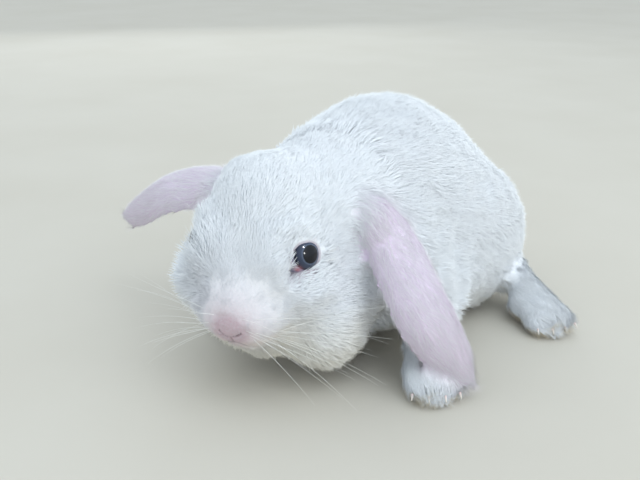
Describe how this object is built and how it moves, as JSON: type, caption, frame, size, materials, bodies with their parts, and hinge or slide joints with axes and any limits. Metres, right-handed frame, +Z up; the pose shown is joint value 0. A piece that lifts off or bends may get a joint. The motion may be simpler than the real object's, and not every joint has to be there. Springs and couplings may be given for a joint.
{
  "type": "lop rabbit",
  "caption": "Young white lop-eared rabbit, life size, crouching with its head low and turned a little to its left, one ear hanging to the forepaw and the other held out.",
  "frame": {"origin": "middle of the floor area under the rabbit", "axes": "+Z up from the floor; the rabbit faces -Y and its left side is +X"},
  "size_m": [0.175, 0.1776, 0.0918],
  "materials": {
    "coat": "soft short fur",
    "ear": "thin skin with sparse short hair",
    "nose": "soft skin",
    "eye": "wet gloss",
    "claw": "satin horn"
  },
  "bodies": {
    "root": {"chest": "coat", "claw_fore_left_1": "claw", "claw_fore_left_2": "claw", "claw_fore_left_3": "claw", "claw_fore_left_4": "claw", "claw_fore_right_1": "claw", "claw_fore_right_2": "claw", "claw_fore_right_3": "claw", "claw_fore_right_4": "claw", "claw_hind_left_1": "claw", "claw_hind_left_2": "claw", "claw_hind_left_3": "claw", "claw_hind_left_4": "claw", "claw_hind_right_1": "claw", "claw_hind_right_2": "claw", "claw_hind_right_3": "claw", "claw_hind_right_4": "claw", "ear_left": "ear", "ear_right": "ear", "eye_left": "eye", "eye_right": "eye", "forefoot_left": "coat", "forefoot_right": "coat", "haunch_left": "coat", "haunch_right": "coat", "head": "coat", "hindfoot_left": "coat", "hindfoot_right": "coat", "loin": "coat", "lower_jaw": "coat", "neck": "coat", "nose": "nose", "rump": "coat", "shoulder_left": "coat", "shoulder_right": "coat", "tail": "coat"}
  },
  "joints": []
}
